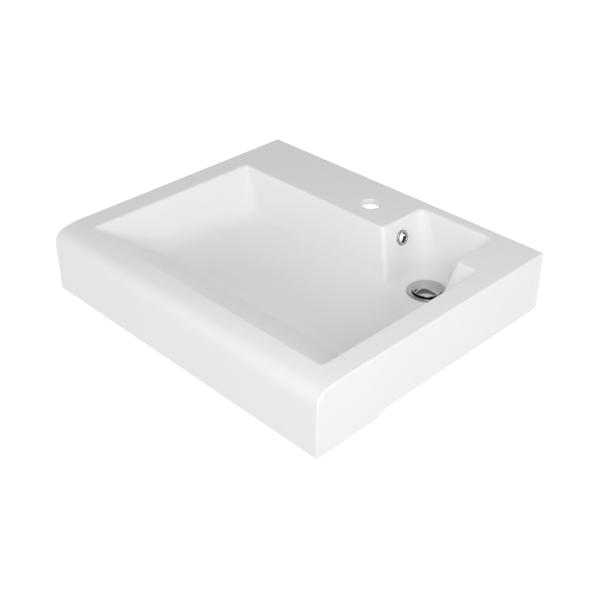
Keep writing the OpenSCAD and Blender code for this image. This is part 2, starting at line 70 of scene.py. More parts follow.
# Bowl: the rim's edges and the lean of each wall
BOWL_X0, BOWL_X1 = -257, 261
BOWL_Y0, BOWL_Y1 = -454, -119
LEAN_LEFT, LEAN_RIGHT, LEAN_BACK, LEAN_FRONT = (math.radians(a) for a in (19, 14, 7, 55))
BOWL_DEPTH = 98.9
RISE_FL, RISE_FR, RISE_BL, RISE_BR = 24, 14, 10, 4
CORNER_R, FLOOR_R, FRONT_FLOOR_R = 7, 22, 45
SUMP_HALF_W, SUMP_Y = 30, -155
FLOOR_SOFTNESS = 1.2
FLOOR_BACK_Y, FLOOR_FRONT_Y = -131, -340
FLOOR_CORNER_C = 0.28
# The front slope's edge eases from the side walls to the floor over this much to each side
FRONT_BLEND = 25

# Drain recess
DRAIN_X, DRAIN_Y = 146, -88.5
RECESS_HALF_W, RECESS_BACK = 74, -24
RECESS_LEAN, RECESS_BACK_LEAN = math.radians(14), math.radians(10)
RECESS_CORNER_R, RECESS_ROUND_R, RECESS_FLOOR_R = 9, 46, 20
RECESS_MOUTH, RECESS_DEPTH = 98.5, 101.7
RECESS_ROUND_TOP = 16
# In front of the mouth the recess floor climbs until it ends inside the bowl
MOUTH_CLIMB, MOUTH_BEND, MOUTH_END = 0.3, 8, 90
# Between these levels the rounded edge of bowl and recess eases into a near flat seam
SEAM_TOP, SEAM_LOW, SEAM_SOFTNESS = -70, -94, 1.0
SEAT_Z, SEAT_R, DRAIN_T, DRAIN_HOLE_R = -102.1, 34, 9.5, 23

# Holes
TAP_X, TAP_Y, TAP_R, TAP_EDGE_R = 2, -71.5, 16.5, 0.8
OVERFLOW_Y, OVERFLOW_DROP, OVERFLOW_R = -78.5, 31, 11
SPOT_R, OVERFLOW_WEB_T = 17, 4.5
BOLT_X, BOLT_DROP, BOLT_R, PAD_R, PAD_T = 140, 78, 7, 17, 4
GAP_HALF_W, GAP_DROP = 100, 38

# Radii of the glazed edges
RIM_EDGE_R, BACK_EDGE_R, CREST_R, UPRIGHT_R = 3.5, 6.5, 6, 8
CREST_START_Y, CREST_FULL_Y = -436, -450
BACK_START_Y, BACK_FULL_Y = -50, -35
RIM_EDGE_C = 0.2
FOOT_EDGE_R = 2.2
WEB_R = 5
BOSS_WEB_R, PAD_WEB_R = 2, 3
GAP_CORNER_R, GAP_EDGE_R, GAP_REACH = 8, 3, 3
SEAT_EDGE_R, SEAT_HEIGHT = 1.5, 6
BOLT_EDGE_R, BOLT_REACH = 1.2, 6
SPOT_CORNER_R, SPOT_EDGE_R = 2, 1.2
OVERFLOW_EDGE_R, OVERFLOW_MIDDLE, OVERFLOW_REACH = 0.8, 4, 16


def round_max(a, b, r, c=0.0):
    """Intersection of two shape functions whose common edge is rounded to radius r.

    c is the cosine of the angle between the two faces' normals, 0 for a square edge.
    """
    a, b = a + r, b + r
    edge = np.sqrt(np.maximum(a * a + b * b - 2 * c * a * b, 0) / (1 - c * c))
    return np.where((a > c * b) & (b > c * a), edge, np.maximum(a, b)) - r


def round_min(a, b, r, c=0.0):
    """Union of two shape functions whose inner corner is filled to radius r."""
    return -round_max(-a, -b, r, c)


def smooth_min(a, b, k):
    """Union that eases between two faces that are nearly parallel."""
    near = np.maximum(k - np.abs(a - b), 0) / k
    return np.minimum(a, b) - near * near * k / 4


def soft_step(v, start, end):
    """0 at start and 1 at end, with an even ease between."""
    t = np.clip((v - start) / (end - start), 0, 1)
    return t * t * (3 - 2 * t)


def body_side(y, z):
    """Distance outside the side profile: flat top, gentle crown, roll and upright front."""
    crown_y, roll_y = CROWN_D - DEPTH, ROLL_R - DEPTH
    roll_z = -CROWN_R + math.sqrt((CROWN_R - ROLL_R) ** 2 - (roll_y - crown_y) ** 2)
    crown = np.hypot(y - crown_y, z + CROWN_R) - CROWN_R
    roll = np.hypot(y - roll_y, z - roll_z) - ROLL_R
    on_crown = (y - crown_y) * (roll_z + CROWN_R) > (z + CROWN_R) * (roll_y - crown_y)
    rounded = np.where(on_crown & (z > -CROWN_R), crown, np.where(z > roll_z, roll, -DEPTH - y))
    return np.where(y > crown_y, z, rounded)


def body(x, y, z):
    """The outer form, open downwards."""
    outer = round_max(body_side(y, z), np.abs(x) - HALF_W, OUTER_EDGE_R)
    return round_max(outer, y, WALL_EDGE_R)


def skirt(x, y, z):
    """Deck and skirt under the outer form, down to the foot with its step."""
    hollow = round_max(body_side(y, z) + WALL_T, np.abs(x) - HALF_W + WALL_T, WEB_R)
    hollow = round_max(hollow, y + BACK_T, WEB_R)
    slant = ((y + RISE_REACH) * SKIRT_RISE - (z + SKIRT_H - SKIRT_RISE) * RISE_SLANT) \
        / math.hypot(SKIRT_RISE, RISE_SLANT)
    step = round_min(SKIRT_RISE - SKIRT_H - z, slant, FOOT_EDGE_R)
    return round_max(-hollow, round_max(-SKIRT_H - z, step, FOOT_EDGE_R), FOOT_EDGE_R)


def floor_planes():
    """Planes through three floor corners that have every other corner above them."""
    def corner(x, lean_x, y, lean_y, rise):
        deep = BOWL_DEPTH - rise
        return np.array([x + deep * math.tan(lean_x), y + deep * math.tan(lean_y), -deep])

    points = [corner(BOWL_X0, LEAN_LEFT, BOWL_Y0, LEAN_FRONT, RISE_FL),
              corner(BOWL_X1, -LEAN_RIGHT, BOWL_Y0, LEAN_FRONT, RISE_FR),
              corner(BOWL_X0, LEAN_LEFT, BOWL_Y1, -LEAN_BACK, RISE_BL),
              corner(BOWL_X1, -LEAN_RIGHT, BOWL_Y1, -LEAN_BACK, RISE_BR),
              np.array([DRAIN_X - SUMP_HALF_W, SUMP_Y, -BOWL_DEPTH]),
              np.array([DRAIN_X + SUMP_HALF_W, SUMP_Y, -BOWL_DEPTH])]
    planes = []
    for i in range(len(points)):
        for j in range(i):
            for k in range(j):
                n = np.cross(points[i] - points[k], points[j] - points[k])
                n = n / np.linalg.norm(n) * -np.sign(n[2])
                if max((p - points[k]) @ n for p in points) < 1e-6:
                    planes.append((n, points[k] @ n))
    return planes


FLOOR_PLANES = floor_planes()


def bowl(x, y, z):
    """The bowl's hollow: four leaning walls over flat facets with softened creases."""
    left = (BOWL_X0 - x) * math.cos(LEAN_LEFT) - z * math.sin(LEAN_LEFT)
    right = (x - BOWL_X1) * math.cos(LEAN_RIGHT) - z * math.sin(LEAN_RIGHT)
    back = (y - BOWL_Y1) * math.cos(LEAN_BACK) - z * math.sin(LEAN_BACK)
    front = (BOWL_Y0 - y) * math.cos(LEAN_FRONT) - z * math.sin(LEAN_FRONT)
    deep = np.clip(-z / BOWL_DEPTH, 0, 1)
    floor = FLOOR_SOFTNESS * np.log(sum(
        np.exp(np.clip((n[0] * x + n[1] * y + n[2] * z - d) / FLOOR_SOFTNESS, -60, 60))
        for n, d in FLOOR_PLANES))
    sides = round_max(np.maximum(left, right), back, CORNER_R + (FLOOR_R - CORNER_R) * deep)
    forward = np.clip((y - FLOOR_BACK_Y) / (FLOOR_FRONT_Y - FLOOR_BACK_Y), 0, 1)
    tub = round_max(sides, floor, FLOOR_R + (FRONT_FLOOR_R - FLOOR_R) * forward, FLOOR_CORNER_C)
    # The front slope meets the side walls above and the floor below
    low = soft_step(floor - sides, -FRONT_BLEND, FRONT_BLEND)
    side_r = CORNER_R + (FRONT_FLOOR_R - CORNER_R) * deep
    side_c = math.sin(LEAN_LEFT) * math.sin(LEAN_FRONT)
    return round_max(tub, front, side_r + (FRONT_FLOOR_R - side_r) * low,
                     side_c + (math.sin(LEAN_FRONT) - side_c) * low)


def recess(x, y, z):
    """The drain recess's hollow: three leaning walls, a falling floor and an open front."""
    side = (np.abs(x - DRAIN_X) - RECESS_HALF_W) * math.cos(RECESS_LEAN) - z * math.sin(RECESS_LEAN)
    back = (y - RECESS_BACK) * math.cos(RECESS_BACK_LEAN) - z * math.sin(RECESS_BACK_LEAN)
    deep = np.clip((RECESS_ROUND_TOP - z) / RECESS_DEPTH, 0, 1)
    walls = round_max(side, back, RECESS_CORNER_R + (RECESS_ROUND_R - RECESS_CORNER_R) * deep)
    fall = soft_step(y, SUMP_Y, DRAIN_Y) * (RECESS_DEPTH - RECESS_MOUTH)
    rise = MOUTH_CLIMB * MOUTH_BEND * np.logaddexp(0, (SUMP_Y - y) / MOUTH_BEND)
    hollow = round_max(walls, rise - RECESS_MOUTH - fall - z, RECESS_FLOOR_R, math.sin(RECESS_LEAN))
    return np.maximum(hollow, SUMP_Y - MOUTH_END - y)


def cavity(x, y, z):
    """Bowl and recess: their upright edges are rounded, and their floors run into each other."""
    tub, hollow = bowl(x, y, z), recess(x, y, z)
    walls = round_min(tub, hollow, UPRIGHT_R)
    seam = smooth_min(tub, hollow, SEAM_SOFTNESS)
    return walls + (seam - walls) * soft_step(z, SEAM_TOP, SEAM_LOW)


def basin_shape(p):
    """Negative inside the glazed shell. p is an array of points in the rim frame."""
    x, y, z = p[..., 0], p[..., 1], p[..., 2]
    outer = body(x, y, z)
    inside = cavity(x, y, z)
    drain = np.hypot(x - DRAIN_X, y - DRAIN_Y)
    boss = np.maximum(drain - SEAT_R, np.abs(z - SEAT_Z + DRAIN_T / 2) - DRAIN_T / 2)
    bolt = np.hypot(np.abs(x) - BOLT_X, z + BOLT_DROP)
    pad = np.maximum(bolt - PAD_R, -BACK_T - PAD_T - y)
    stuff = round_min(skirt(x, y, z), inside - BOWL_T, WEB_R)
    stuff = round_min(round_min(stuff, boss, BOSS_WEB_R), pad, PAD_WEB_R)
    gap = np.maximum(round_max(np.abs(x) - GAP_HALF_W, z + GAP_DROP, GAP_CORNER_R),
                     -BACK_T - GAP_REACH - y)
    shell = round_max(outer, stuff, FOOT_EDGE_R)
    shell = round_max(shell, -gap, GAP_EDGE_R)
    at_crest = soft_step(y, CREST_START_Y, CREST_FULL_Y)
    rim_r = RIM_EDGE_R + (CREST_R - RIM_EDGE_R) * at_crest \
        + (BACK_EDGE_R - RIM_EDGE_R) * soft_step(y, BACK_START_Y, BACK_FULL_Y)
    rim_c = RIM_EDGE_C + (math.sin(LEAN_FRONT) - RIM_EDGE_C) * at_crest
    shell = round_max(shell, -inside, rim_r, rim_c)
    seat = np.maximum(drain - SEAT_R, SEAT_Z - z)
    seat = np.maximum(seat, z - SEAT_Z - SEAT_HEIGHT)
    shell = round_max(shell, -seat, SEAT_EDGE_R)
    shell = round_max(shell, DRAIN_HOLE_R - drain, SEAT_EDGE_R)
    shell = round_max(shell, TAP_R - np.hypot(x - TAP_X, y - TAP_Y), TAP_EDGE_R)
    bolt_hole = np.maximum(bolt - BOLT_R, -BACK_T - PAD_T - BOLT_REACH - y)
    shell = round_max(shell, -bolt_hole, BOLT_EDGE_R)
    lean = (math.cos(RECESS_LEAN), math.sin(RECESS_LEAN))
    wall_x = DRAIN_X - RECESS_HALF_W + OVERFLOW_DROP * math.tan(RECESS_LEAN)
    along = (x - wall_x) * lean[0] + (z + OVERFLOW_DROP) * lean[1]
    across = np.hypot((z + OVERFLOW_DROP) * lean[0] - (x - wall_x) * lean[1], y - OVERFLOW_Y)
    spot = round_max(across - SPOT_R, along + OVERFLOW_WEB_T, SPOT_CORNER_R)
    shell = round_max(shell, -np.maximum(spot, -2 * BOWL_T - along), SPOT_EDGE_R)
    hole = np.maximum(across - OVERFLOW_R, np.abs(along + OVERFLOW_MIDDLE) - OVERFLOW_REACH)
    return round_max(shell, -hole, OVERFLOW_EDGE_R)


# Mesh of the shell

NEWTON_STEPS, LONGEST_STEP, LEAST_SQUARED_SLOPE = 4, 1.5, 0.05


def spaced(lo, hi, bands, coarse):
    """Grid places from lo to hi: bands are (start, end, step), and coarse steps lie between."""
    ticks, at = [], lo
    for start, end, step in [*bands, (hi, hi, coarse)]:
        n = max(1, round((start - at) / coarse))
        ticks += list(np.linspace(at, start, n, endpoint=False))
        ticks += list(np.linspace(start, end, max(1, round((end - start) / step)), endpoint=False))
        at = end
    return np.unique(np.round(np.append(ticks, hi), 4))


def gradient(shape, p, step=0.02):
    """Slope of the shape function at each of the points."""
    g = np.zeros_like(p)
    for axis in range(3):
        d = np.zeros(3)
        d[axis] = step
        g[:, axis] = (shape(p + d) - shape(p - d)) / (2 * step)
    return g


def net_mesh(shape, xs, ys, zs):
    """Surface net of the shape function on a grid: (points, quads, normals)."""
    grid = np.stack(np.meshgrid(xs, ys, zs, indexing="ij"), axis=-1)
    value = np.stack([shape(layer) for layer in grid])
    inside = value < 0
    total = np.zeros([n - 1 for n in value.shape] + [3])
    count = np.zeros([n - 1 for n in value.shape])
    crossings = []
    for axis in range(3):
        low, high = [slice(None)] * 3, [slice(None)] * 3
        low[axis], high[axis] = slice(0, -1), slice(1, None)
        low, high = tuple(low), tuple(high)
        cross = inside[low] != inside[high]
        i, j, k = np.nonzero(cross)
        v0, v1 = value[low][cross], value[high][cross]
        t = (v0 / (v0 - v1))[:, None]
        where = grid[low][cross] * (1 - t) + grid[high][cross] * t
        crossings.append((i, j, k, inside[low][cross]))
        index = [i, j, k]
        others = [a for a in range(3) if a != axis]
        for da in (0, 1):
            for db in (0, 1):
                cell = list(index)
                cell[others[0]] = index[others[0]] - da
                cell[others[1]] = index[others[1]] - db
                np.add.at(total, tuple(cell), where)
                np.add.at(count, tuple(cell), 1)
    used = count > 0
    number = np.full(count.shape, -1)
    number[used] = np.arange(used.sum())
    points = total[used] / count[used][:, None]
    quads = []
    for axis, (i, j, k, solid_first) in enumerate(crossings):
        index, others = [i, j, k], [a for a in range(3) if a != axis]
        ring = []
        for da, db in ((0, 0), (1, 0), (1, 1), (0, 1)):
            cell = list(index)
            cell[others[0]] = index[others[0]] - da
            cell[others[1]] = index[others[1]] - db
            ring.append(number[tuple(cell)])
        ring = np.stack(ring, axis=1)
        flip = solid_first if axis != 1 else ~solid_first
        quads.append(np.where(flip[:, None], ring, ring[:, ::-1]))
    # A few Newton steps bring the points onto the surface
    for _ in range(NEWTON_STEPS):
        g = gradient(shape, points)
        squared_slope = np.maximum((g * g).sum(1), LEAST_SQUARED_SLOPE)
        shift = -(shape(points) / squared_slope)[:, None] * g
        length = np.maximum(np.linalg.norm(shift, axis=1), 1e-9)[:, None]
        points += shift * np.minimum(1, LONGEST_STEP / length)
    g = gradient(shape, points)
    return points, np.concatenate(quads), g / np.maximum(np.linalg.norm(g, axis=1), 1e-9)[:, None]


def add_piece(name, points, faces, normals, node, place=np.zeros(3), turned=np.eye(3)):
    """Makes a piece from points in mm, which a rotation and a shift bring into the row frame."""
    mesh = bpy.data.meshes.new(name)
    mesh.from_pydata(((points @ turned.T + place) * MM).tolist(), [], [list(f) for f in faces])
    mesh.validate()
    mesh.polygons.foreach_set("use_smooth", [True] * len(mesh.polygons))
    mesh.normals_split_custom_set_from_vertices((normals @ turned.T).tolist())
    piece = bpy.data.objects.new(name, mesh)
    bpy.context.scene.collection.objects.link(piece)
    slot = next(p["material_slot"] for p in frame["record"]["subparts"] if p["node"] == node)
    body = next(b for b, nodes in frame["record"]["behaviour"]["bodies"].items() if node in nodes)
    mesh.materials.append(SLOT_MATERIALS[slot])
    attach(piece, body)
    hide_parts(node)


def add_shell():
    """The glazed shell, on a grid that is fine where edges, fillets and holes lie."""
    fine = 1.6
    coarse, coarse_z = 4.8, 3.2
    pad, around = 1.3, 20
    drain_left, drain_right = DRAIN_X - SEAT_R - 8, DRAIN_X + SEAT_R + 8
    # Left skirt, bowl's left edge, bolt, tap hole, overflow, drain, and the whole right side
    xs = spaced(-HALF_W - pad, HALF_W + pad, [
        (-HALF_W - pad, -284, fine), (BOWL_X0 - 5, BOWL_X0 + 11, fine),
        (-BOLT_X - around, -BOLT_X + around, fine), (TAP_X - around, TAP_X + around, fine),
        (DRAIN_X - RECESS_HALF_W - 10, drain_left, fine), (drain_left, drain_right, 1.4 * fine),
        (drain_right, HALF_W + pad, fine)], coarse)
    # Front skirt, roll with the bowl's front edge, step of the foot, and deck with recess
    ys = spaced(-DEPTH - pad, pad, [
        (-DEPTH - pad, -478, fine), (-478, BOWL_Y0 + 14, 1.4 * fine),
        (-RISE_REACH - 18, -RISE_REACH + 4, fine), (BOWL_Y1 - 21, pad, fine)], coarse)
    # Foot with the drain's seat, bolts, overflow, and the rim's edges
    zs = spaced(-SKIRT_H - pad, pad, [
        (-SKIRT_H - pad, -98, 0.9 * fine), (-BOLT_DROP - 14, -BOLT_DROP + 16, 1.5 * fine),
        (-OVERFLOW_DROP - 15, -OVERFLOW_DROP + SPOT_R, 1.5 * fine),
        (-OVERFLOW_DROP + SPOT_R, pad, 0.8 * fine)], coarse_z)
    points, quads, normals = net_mesh(basin_shape, xs, ys, zs)
    add_piece("glazed_shell", points, quads, normals, "basin", np.array([0, 0, RIM_Z]))


# Turned pieces. Their heights are in mm above the seat that the drain's gasket rests on.

DRAIN_PLACE = np.array([DRAIN_X, DRAIN_Y, SEAT_Z + RIM_Z])
TURN_STEPS = 192


def round_size(node):
    """Radius, lowest and highest level of a round CAD node on the drain's axis."""
    lo, hi = (np.array(corner) / MM - DRAIN_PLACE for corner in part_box(node))
    return (hi[0] - lo[0]) / 2, lo[2], hi[2]


def rounded(points, closed=True, steps=6):
    """Rows of (radius, height, and the normal's two parts) along an outline.

    The solid lies to the left of the way along it. A point is (radius, height, corner radius),
    or a ready row.
    """
    rows = []
    for i, point in enumerate(points):
        if len(point) == 4:
            rows.append(point)
            continue
        here = np.array(point[:2], float)
        first, last = not closed and i == 0, not closed and i == len(points) - 1
        after = np.array(points[(i + 1) % len(points)][:2]) - here
        before = after if first else here - np.array(points[i - 1][:2])
        after = before if last else after
        u, v = before / np.linalg.norm(before), after / np.linalg.norm(after)
        turn = math.atan2(u[0] * v[1] - u[1] * v[0], u @ v)
        corner = math.copysign(point[2], turn)
        start = here - u * abs(corner * math.tan(turn / 2))
        centre = start - np.array([u[1], -u[0]]) * corner
        for k in range(steps + 1 if point[2] else 1):
            a = turn * k / steps
            n = np.array([u[1] * math.cos(a) + u[0] * math.sin(a),
                          u[1] * math.sin(a) - u[0] * math.cos(a)])
            rows.append((*(centre + n * corner), *n))
    return rows


def swept(rows, closed=True, start=0, sweep=360, steps=TURN_STEPS, groove=None):
    """Points, faces and normals of the rows swept round the axis.

    groove(angle, height) is how deep a thread cuts into the rows at THREAD_R.
    """
    full = sweep == 360
    angles = np.radians(start + sweep * np.arange(steps if full else steps + 1) / steps)
    r, z, nr, nz = (np.array(column)[:, None] + 0 * angles for column in zip(*rows))
    na = np.zeros_like(r)
    if groove:
        cut = np.abs(r - THREAD_R) < 1e-6
        e = 1e-3
        na = np.where(cut, (groove(angles + e, z) - groove(angles - e, z)) / (2 * e * r), 0)
        nz = np.where(cut, (groove(angles, z + e) - groove(angles, z - e)) / (2 * e), nz)
        r = np.where(cut, r - groove(angles, z), r)
    c, s = np.cos(angles), np.sin(angles)
    points = np.stack([r * c, r * s, z], -1).reshape(-1, 3)
    normals = np.stack([nr * c - na * s, nr * s + na * c, nz], -1).reshape(-1, 3)
    normals /= np.linalg.norm(normals, axis=1)[:, None]
    number = np.arange(len(points)).reshape(r.shape)
    on_axis = np.array([row[0] < 1e-6 for row in rows])
    number[on_axis] = number[on_axis][:, :1]
    rows_next = np.roll(number, -1, axis=0) if closed else number[1:]
    number = number if closed else number[:-1]
    if full:
        ring, ring_next = number, np.roll(number, -1, axis=1)
        up, up_next = rows_next, np.roll(rows_next, -1, axis=1)
    else:
        ring, ring_next = number[:, :-1], number[:, 1:]
        up, up_next = rows_next[:, :-1], rows_next[:, 1:]
    quads = np.stack([ring, ring_next, up_next, up], -1).reshape(-1, 4)
    faces = [list(dict.fromkeys(quad)) for quad in quads.tolist()]
    if not full:
        for end, side in ((0, -1), (len(angles) - 1, 1)):
            tangent = np.array([-s[end], c[end], 0]) * side
            face = list(range(len(points), len(points) + len(rows)))
            points = np.concatenate([points, points[end:len(rows) * len(angles):len(angles)]])
            normals = np.concatenate([normals, np.tile(tangent, (len(rows), 1))])
            faces.append(face[::-side])
    used = np.unique(np.concatenate([np.array(f) for f in faces]))
    remap = np.full(len(points), -1)
    remap[used] = np.arange(len(used))
    return points[used], [[remap[i] for i in f] for f in faces], normals[used]


def joined(parts):
    """Several sets of points, faces and normals as one."""
    faces, base = [], 0
    for points, some, _ in parts:
        faces += [[base + i for i in f] for f in some]
        base += len(points)
    return np.concatenate([p[0] for p in parts]), faces, np.concatenate([p[2] for p in parts])


def add_turned(name, node, outline, closed=True, groove=None):
    add_piece(name, *swept(rounded(outline, closed), closed, groove=groove), node, DRAIN_PLACE)


# Waste tube: standard pipe thread, rolled between the flange's gasket and the tail

THREAD_R, TUBE_BORE_R = 20.95, 18.2
THREAD_PITCH, THREAD_DEPTH = 2.309, 1.3
THREAD_TOP = -7.5
RELIEF_TOP, RELIEF_BOTTOM, RELIEF_DEPTH = -25.5, -27.5, 1.0
MOUTH_R, MOUTH_LAND, FLANGE_DIP, MOUTH_DROP = 20.4, 6, 0.7, 3
SPIDER_WALL, ARM_COUNT, ARM_W, ARM_H = 3, 3, 4, 7
CARTRIDGE_R, CARTRIDGE_BORE_R = 8.0, 5.2
STEM_R = 3
# Radial gap between fixed round pieces
FIT = 0.05


def thread(tail):
    """Depth of the rounded thread at an angle and a height, running out before every end."""
    def depth(angle, z):
        wave = 0.5 - 0.5 * np.cos(2 * math.pi * z / THREAD_PITCH - angle)
        fade = THREAD_PITCH / 2
        upper = soft_step(z, THREAD_TOP, THREAD_TOP - fade)
        upper = upper * soft_step(z, RELIEF_TOP, RELIEF_TOP + fade)
        lower = soft_step(z, RELIEF_BOTTOM, RELIEF_BOTTOM - fade)
        lower = lower * soft_step(z, tail + 1, tail + 1 + fade)
        return THREAD_DEPTH * wave * np.maximum(upper, lower)
    return depth


def thread_rows(low, high, steps_per_turn=10):
    count = math.ceil((high - low) / THREAD_PITCH * steps_per_turn)
    return [(THREAD_R, low + (high - low) * (k + 0.5) / count, 1.0, 0.0) for k in range(count)]


def spider(bottom):
    """Boss that holds the cartridge, and its arms to the tube's wall."""
    outer, inner = CARTRIDGE_R + SPIDER_WALL, CARTRIDGE_R + FIT
    top = bottom + ARM_H
    parts = [swept(rounded([(inner, bottom, 0.3), (outer, bottom, 0.6),
                            (outer, top, 0.6), (inner, top, 0.6)]))]
    reach = (TUBE_BORE_R + THREAD_R - THREAD_DEPTH) / 2
    for i in range(ARM_COUNT):
        a = 2 * math.pi * i / ARM_COUNT
        along = np.array([math.cos(a), math.sin(a), 0])
        across = np.array([-math.sin(a), math.cos(a), 0])
        section = rounded([(ARM_W / 2, bottom, 0.8), (ARM_W / 2, top, 1.6),
                           (-ARM_W / 2, top, 1.6), (-ARM_W / 2, bottom, 0.8)])
        ends = [np.array([along * r + across * w + [0, 0, z] for w, z, _, _ in section])
                for r in (outer - 0.7, reach)]
        n = len(section)
        side = np.array([across * nw + [0, 0, nz] for _, _, nw, nz in section])
        points = np.concatenate([*ends, *ends])
        normals = np.concatenate([side, side, np.tile(-along, (n, 1)), np.tile(along, (n, 1))])
        faces = [[k, (k + 1) % n, n + (k + 1) % n, n + k] for k in range(n)]
        faces += [list(range(3 * n - 1, 2 * n - 1, -1)), list(range(3 * n, 4 * n))]
        parts.append((points, faces, normals))
    return parts


def add_waste():
    flange_r, tail, flange_top = round_size("waste_body")
    under = round_size("flange_gasket")[2]
    outline = [(TUBE_BORE_R, tail, 0.5), (THREAD_R, tail, 0.9),
               *thread_rows(tail + 1, RELIEF_BOTTOM - 0.1),
               (THREAD_R, RELIEF_BOTTOM, 0.1), (THREAD_R - RELIEF_DEPTH, RELIEF_BOTTOM, 0.3),
               (THREAD_R - RELIEF_DEPTH, RELIEF_TOP, 0.3), (THREAD_R, RELIEF_TOP, 0.1),
               *thread_rows(RELIEF_TOP + 0.1, THREAD_TOP), (THREAD_R, under, 0.3),
               (flange_r, under, 0.8), (flange_r, flange_top, 1.15),
               (MOUTH_R + MOUTH_LAND, flange_top - FLANGE_DIP * 2 / 3, 9),
               (MOUTH_R, flange_top - FLANGE_DIP, 1.4), (TUBE_BORE_R, -MOUTH_DROP, 2)]
    tube = swept(rounded(outline), groove=thread(tail))
    housing_bottom = round_size("cartridge_housing")[1]
    add_piece("drain_flange_and_tube", *joined([tube, *spider(housing_bottom)]),
              "waste_body", DRAIN_PLACE)


def add_gaskets():
    gasket_r, low, high = round_size("flange_gasket")
    add_turned("flange_packing", "flange_gasket",
               [(DRAIN_HOLE_R, low, 0.3), (gasket_r, low, 0.5),
                (gasket_r, high, 0.5), (DRAIN_HOLE_R, high, 0.3)])
    cone_r, low, high = round_size("cone_gasket")
    under, neck_r, bevel = -DRAIN_T, DRAIN_HOLE_R - 0.6, 3
    add_turned("cone_packing", "cone_gasket",
               [(THREAD_R + FIT, low, 0.4), (cone_r - bevel, low, 1.0),
                (cone_r, (low + under) / 2, 0.8), (cone_r, under, 0.4),
                (neck_r + 0.3, under, 0.3), (neck_r, high, 0.4), (THREAD_R + FIT, high, 0.2)])
    slip_r, low, high = round_size("slip_washer")
    add_turned("slip_ring", "slip_washer",
               [(THREAD_R + FIT, low, 0.3), (slip_r, low, 0.6),
                (slip_r, high, 0.6), (THREAD_R + FIT, high, 0.3)])


def add_nut():
    """Hexagon nut with rounded edges, a chamfer under its corners and a countersunk thread."""
    corner_r, low, high = round_size("locknut")
    flat_r, bevel, bore = corner_r * math.cos(math.pi / 6), 0.5, THREAD_R + FIT

    def nut(p):
        x, y, z = p[..., 0], p[..., 1], p[..., 2]
        sides = [abs(x * math.sin(a) - y * math.cos(a)) - flat_r
                 for a in (0, math.pi / 3, -math.pi / 3)]
        hexagon = round_max(round_max(sides[0], sides[1], 0.7, 0.5), sides[2], 0.7, 0.5)
        r = np.hypot(x, y)
        cone = (r - flat_r + bevel) * 0.5 - (z - low) * math.cos(math.pi / 6)
        solid = round_max(round_max(hexagon, cone, 0.3, 0.5), z - high, 0.5)
        solid = round_max(solid, low - z, 0.3)
        countersink = 0.7 * (bore - r + 1.1 - np.minimum(z - low, high - z))
        return round_max(solid, np.maximum(bore - r, countersink), 0.2)

    step = 0.55
    across = np.arange(-corner_r - step, corner_r + 1.5 * step, step)
    up = np.arange(low - 1.3 * step, high + 2 * step, step)
    add_piece("hex_nut", *net_mesh(nut, across, across, up), "locknut", DRAIN_PLACE)


def add_cartridge():
    """Case of the cartridge. The guide ribs inside it stay hidden and are left out."""
    case_r, low, high = round_size("cartridge_housing")
    floor_t = 3
    add_turned("cartridge_case", "cartridge_housing",
               [(0, low, 0, -1), (case_r, low, 1.2), (case_r, high, 0.3), (CARTRIDGE_BORE_R, high, 0.3),
                (CARTRIDGE_BORE_R, low + floor_t, 0.4), (0, low + floor_t, 0, 1)], closed=False)


def add_plug():
    seal_r, seal_low, seal_high = round_size("plug_seal")
    bore, lip, lip_t, hub_r = 16.5, 0.8, 2, 6.5
    add_turned("seal_ring", "plug_seal",
               [(bore, seal_low, 0.2), (seal_r, seal_low, 0.7),
                (seal_r, seal_high, 0.3), (bore, seal_high, 0.2)])
    cap_r, low, high = round_size("plug_cap")
    edge_t, dome_h = 1.6, 4
    edge_top = high - dome_h
    dome_r = (cap_r ** 2 + dome_h ** 2) / (2 * dome_h)
    brim = math.asin(cap_r / dome_r)
    edge_r = 0.7
    start = brim - 1.3 * edge_r / dome_r
    dome = [(dome_r * math.sin(a), high - dome_r * (1 - math.cos(a)), math.sin(a), math.cos(a))
            for a in np.linspace(start, 0, 24)]
    stem_top = edge_top - edge_t - 1
    bore_r = STEM_R + FIT
    add_turned("plug_dome", "plug_cap",
               [(0, stem_top, 0, -1), (bore_r, stem_top, 0.3), (bore_r, low, 0.3), (hub_r, low, 0.5),
                (hub_r, seal_low - lip_t, 0.5), (bore + lip, seal_low - lip_t, 0.4),
                (bore + lip, seal_low, 0.2), (bore, seal_low, 0.1), (bore, seal_high, 0.1),
                (cap_r, edge_top - edge_t, 0.4), (cap_r, edge_top, edge_r), *dome], closed=False)


# Overflow ring, in its own frame whose Z axis points out of the leaning wall

OVERFLOW_AXIS = np.array([math.cos(RECESS_LEAN), 0, math.sin(RECESS_LEAN)])
OVERFLOW_PLACE = np.array([DRAIN_X - RECESS_HALF_W + OVERFLOW_DROP * math.tan(RECESS_LEAN),
                           OVERFLOW_Y, RIM_Z - OVERFLOW_DROP])


